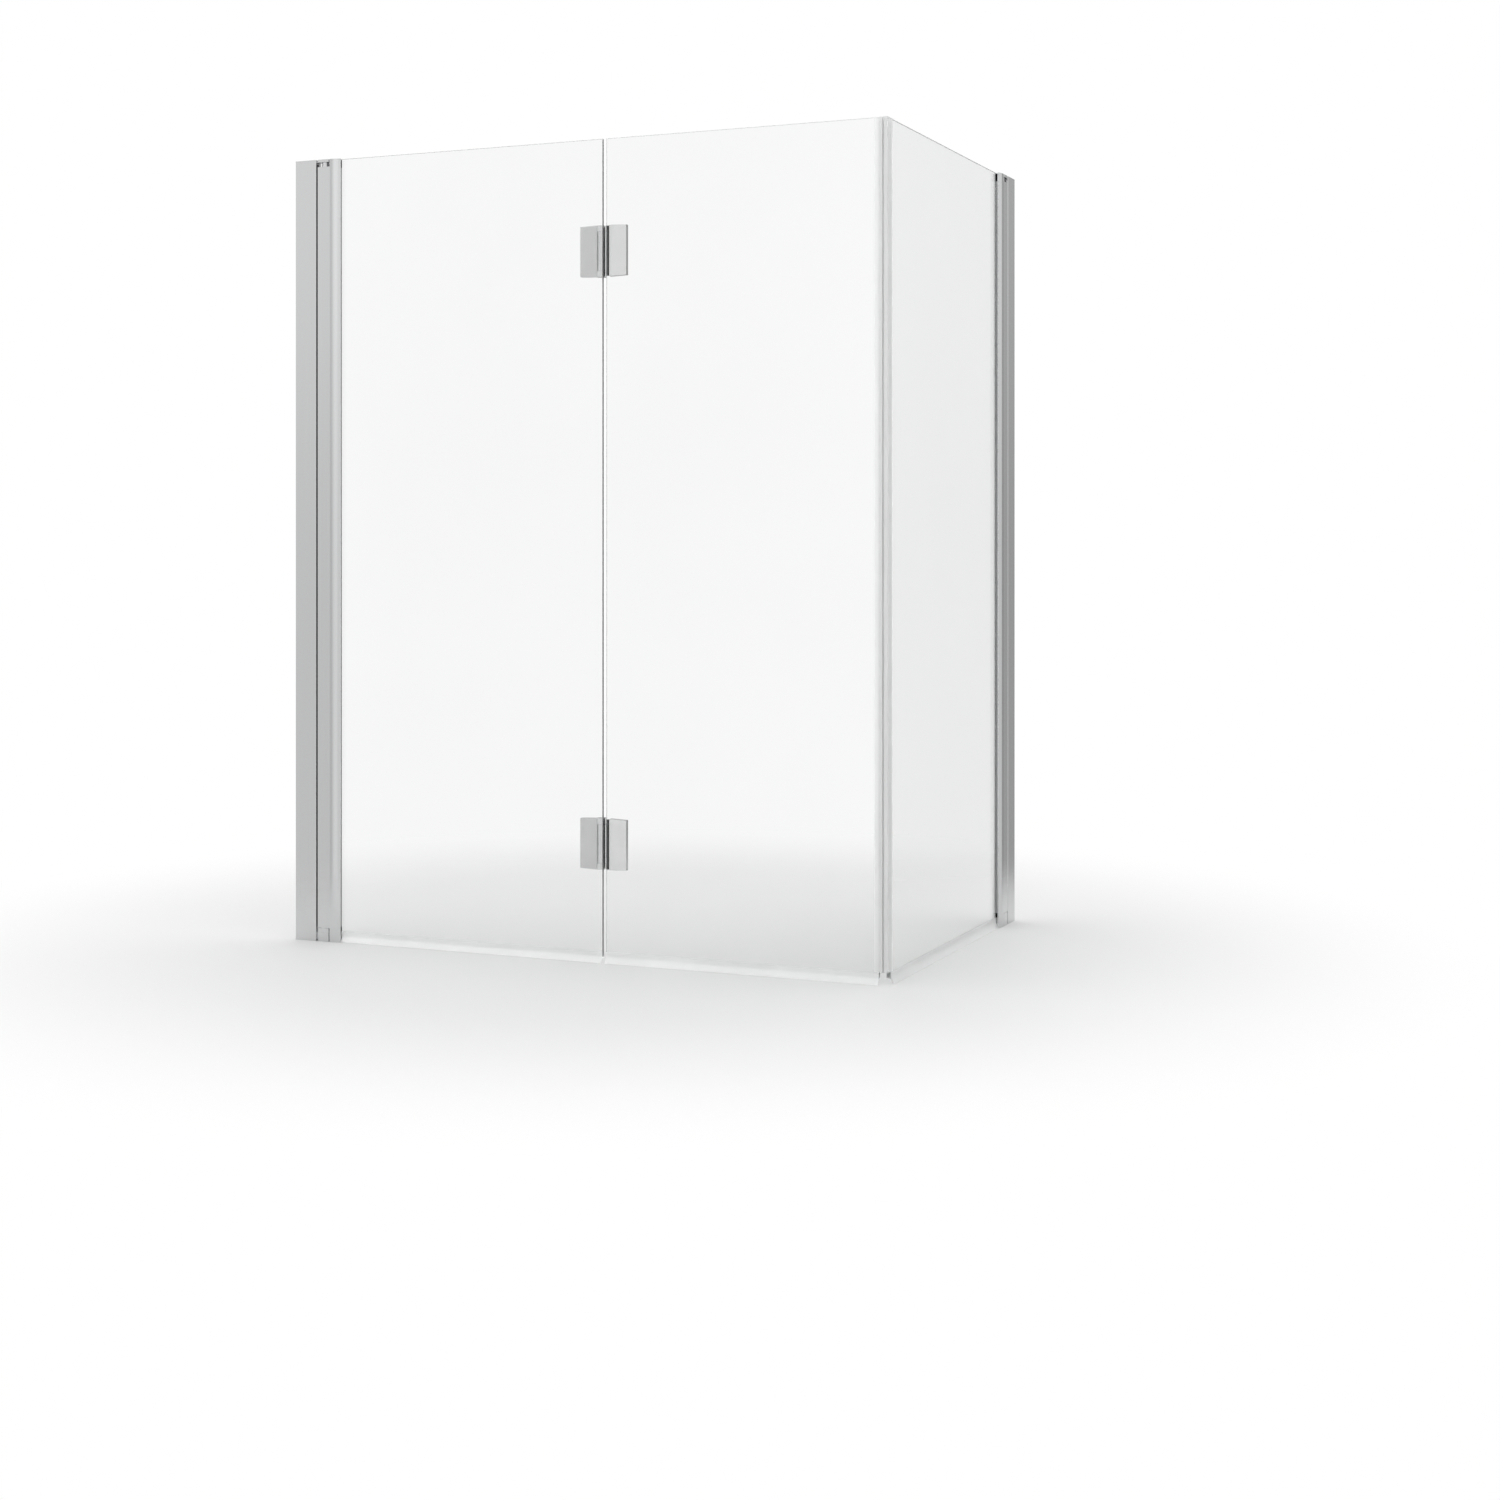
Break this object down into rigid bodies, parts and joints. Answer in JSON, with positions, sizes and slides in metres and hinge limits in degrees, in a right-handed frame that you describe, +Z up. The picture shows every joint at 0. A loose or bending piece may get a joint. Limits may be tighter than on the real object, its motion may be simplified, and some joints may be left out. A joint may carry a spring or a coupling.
{
  "type": "folding bath screen",
  "caption": "Frameless corner bath screen: a folding glass front and a swinging glass side panel, hung on wall profiles with pivots and closed by magnetic corner strips.",
  "frame": {"origin": "middle of the left wall profile's wall face, at its foot on the bath rim", "axes": "+X along the front from the left wall, +Y from the front to the back wall, +Z up"},
  "size_m": [1.1345, 0.7, 1.4],
  "materials": {
    "satin_aluminium": "satin, bright anodised",
    "chrome": "polished",
    "steel": "turned, plain",
    "clear_glass": "clear, polished edges",
    "clear_plastic": "clear, flexible",
    "grey_gasket": "soft, matt",
    "black_rubber": "matt",
    "white_plastic": "matt",
    "magnet_bar": "matt, pale magnetic strip"
  },
  "bodies": {
    "wall_fixings": {"left_wall_channel": "satin_aluminium", "left_wall_profile": "satin_aluminium", "left_wall_profile_bottom_cap": "satin_aluminium", "left_wall_profile_top_cap": "satin_aluminium", "left_clamp_screws": "steel", "left_top_arm": "satin_aluminium", "left_bottom_arm": "satin_aluminium", "left_arm_screws": "steel", "left_top_pivot_pin": "steel", "left_bottom_pivot_pin": "steel", "left_bearing_ring": "satin_aluminium", "left_thrust_washer": "white_plastic", "back_wall_channel": "satin_aluminium", "back_wall_profile": "satin_aluminium", "back_wall_profile_bottom_cap": "satin_aluminium", "back_wall_profile_top_cap": "satin_aluminium", "back_clamp_screws": "steel", "back_top_arm": "satin_aluminium", "back_bottom_arm": "satin_aluminium", "back_arm_screws": "steel", "back_top_pivot_pin": "steel", "back_bottom_pivot_pin": "steel", "back_bearing_ring": "satin_aluminium", "back_thrust_washer": "white_plastic"},
    "front_inner_panel": {"left_pivot_profile": "satin_aluminium", "left_pivot_profile_top_cap": "satin_aluminium", "left_pivot_profile_bottom_cap": "satin_aluminium", "left_pivot_bushes": "white_plastic", "left_outer_gasket": "grey_gasket", "left_inner_gasket": "grey_gasket", "left_gasket_plugs": "black_rubber", "front_inner_glass": "clear_glass", "front_inner_seal": "clear_plastic", "upper_hinge_fixed_leaf": "chrome", "lower_hinge_fixed_leaf": "chrome", "upper_hinge_pin": "steel", "lower_hinge_pin": "steel", "fixed_leaf_bonds": "clear_plastic"},
    "front_outer_panel": {"front_outer_glass": "clear_glass", "front_outer_seal": "clear_plastic", "upper_hinge_moving_leaf": "chrome", "lower_hinge_moving_leaf": "chrome", "upper_hinge_sleeve": "white_plastic", "lower_hinge_sleeve": "white_plastic", "moving_leaf_bonds": "clear_plastic", "hinge_buffers": "black_rubber", "front_corner_strip": "clear_plastic", "front_corner_magnet": "magnet_bar"},
    "side_panel": {"back_pivot_profile": "satin_aluminium", "back_pivot_profile_top_cap": "satin_aluminium", "back_pivot_profile_bottom_cap": "satin_aluminium", "back_pivot_bushes": "white_plastic", "back_outer_gasket": "grey_gasket", "back_inner_gasket": "grey_gasket", "back_gasket_plugs": "black_rubber", "side_glass": "clear_glass", "side_seal": "clear_plastic", "side_corner_strip": "clear_plastic", "side_corner_magnet": "magnet_bar"}
  },
  "joints": [
    {"name": "front_swing", "type": "hinge", "parent": "wall_fixings", "child": "front_inner_panel", "pos_m": [0.058, 0, 0.7], "axis": [0, 0, 1], "range_deg": [-90, 35]},
    {"name": "front_fold", "type": "hinge", "parent": "front_inner_panel", "child": "front_outer_panel", "pos_m": [0.6038, 0.0165, 0.7], "axis": [0, 0, 1], "range_deg": [0, 180]},
    {"name": "side_swing", "type": "hinge", "parent": "wall_fixings", "child": "side_panel", "pos_m": [1.1255, 0.633, 0.7], "axis": [0, 0, 1], "range_deg": [0, 90]}
  ]
}
